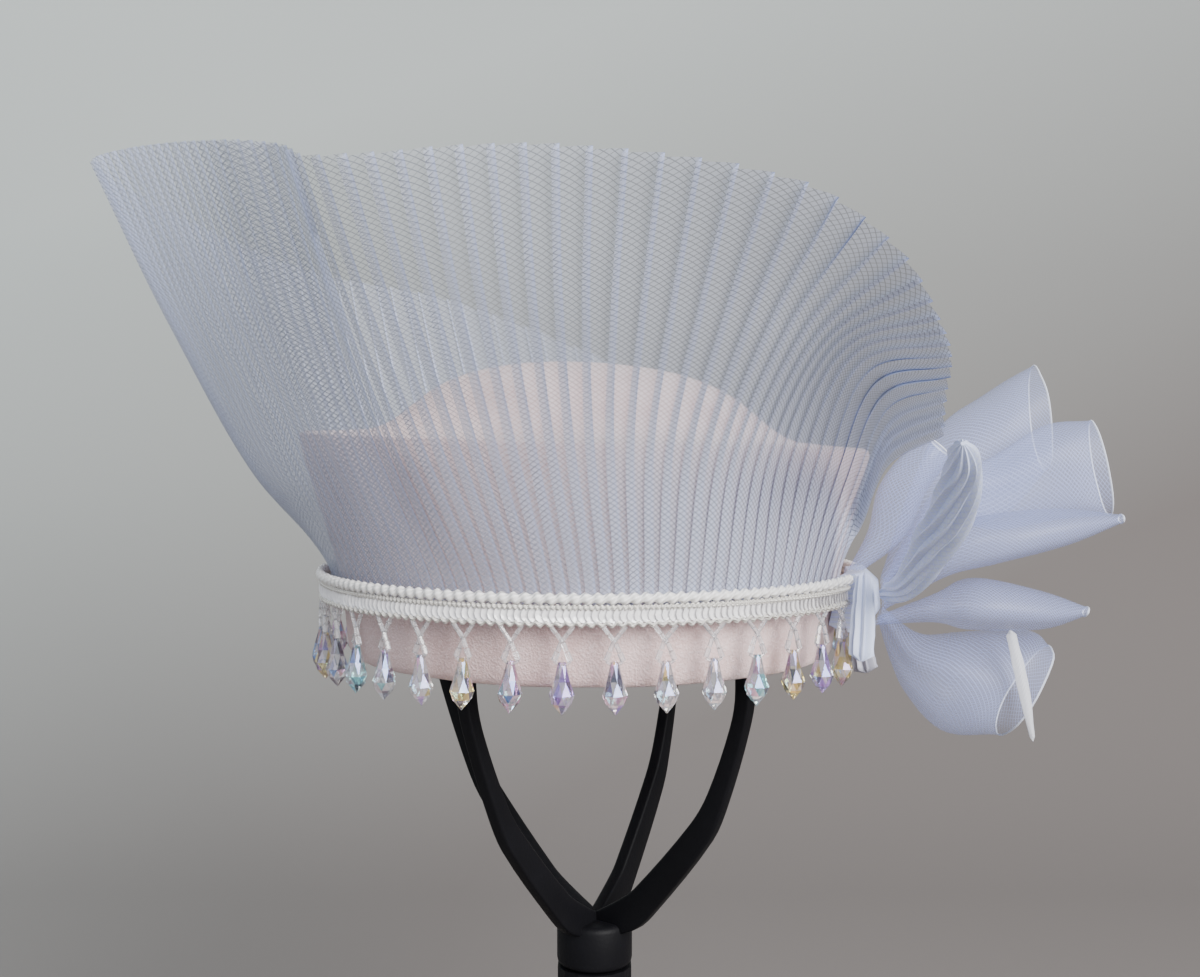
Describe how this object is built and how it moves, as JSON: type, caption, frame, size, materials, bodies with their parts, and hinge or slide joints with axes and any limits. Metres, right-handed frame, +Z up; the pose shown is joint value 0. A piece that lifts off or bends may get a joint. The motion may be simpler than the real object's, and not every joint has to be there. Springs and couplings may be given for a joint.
{
  "type": "cocktail hat on a wig stand",
  "caption": "Felt pillbox cocktail hat with a tall pleated crinoline frill, beaded crystal fringe and side bow, worn on a plain black folding wig stand.",
  "frame": {"origin": "on the floor, in the middle of the footprint of the hat on its stand", "axes": "+Z up; -Y towards the front of the hat, where the frill flares forwards; +X towards the side with the bow"},
  "size_m": [0.3268, 0.3792, 0.4134],
  "materials": {
    "felt": "pale blush wool felt with a soft short nap",
    "crinoline": "pale blue-grey open net with a slight sheen",
    "crinoline_dark": "dark grey net in shade",
    "braid": "ivory scalloped cord, satin",
    "sequin": "clear white cup sequins, glossy",
    "metal_thread": "muted gold loop edging with beads",
    "crystal": "faceted glass with an iridescent tint",
    "satin_white": "white ribbon, satin",
    "stand_black": "black, satin gloss"
  },
  "bodies": {
    "root": {"crown": "felt", "frill": "crinoline", "frill_roll": "crinoline", "frill_gather": "crinoline", "tuft_light": "crinoline", "tuft_dark": "crinoline_dark", "braid_cord": "braid", "sequin_band": "sequin", "fringe_hangers": "metal_thread", "drop_01": "crystal", "drop_02": "crystal", "drop_03": "crystal", "drop_04": "crystal", "drop_05": "crystal", "drop_06": "crystal", "drop_07": "crystal", "drop_08": "crystal", "drop_09": "crystal", "drop_10": "crystal", "drop_11": "crystal", "drop_12": "crystal", "drop_13": "crystal", "drop_14": "crystal", "drop_15": "crystal", "drop_16": "crystal", "drop_17": "crystal", "drop_18": "crystal", "drop_19": "crystal", "drop_20": "crystal", "drop_21": "crystal", "drop_22": "crystal", "drop_23": "crystal", "drop_24": "crystal", "drop_25": "crystal", "drop_26": "crystal", "drop_27": "crystal", "drop_28": "crystal", "drop_29": "crystal", "drop_30": "crystal", "drop_31": "crystal", "drop_32": "crystal", "drop_33": "crystal", "drop_34": "crystal", "drop_35": "crystal", "drop_36": "crystal", "bow_inner": "crinoline", "bow_upper": "crinoline", "bow_small": "crinoline", "bow_middle": "crinoline", "bow_lower": "crinoline", "bow_bottom": "crinoline", "bow_tail": "satin_white", "stand_top": "stand_black", "stand_base": "stand_black"}
  },
  "joints": []
}
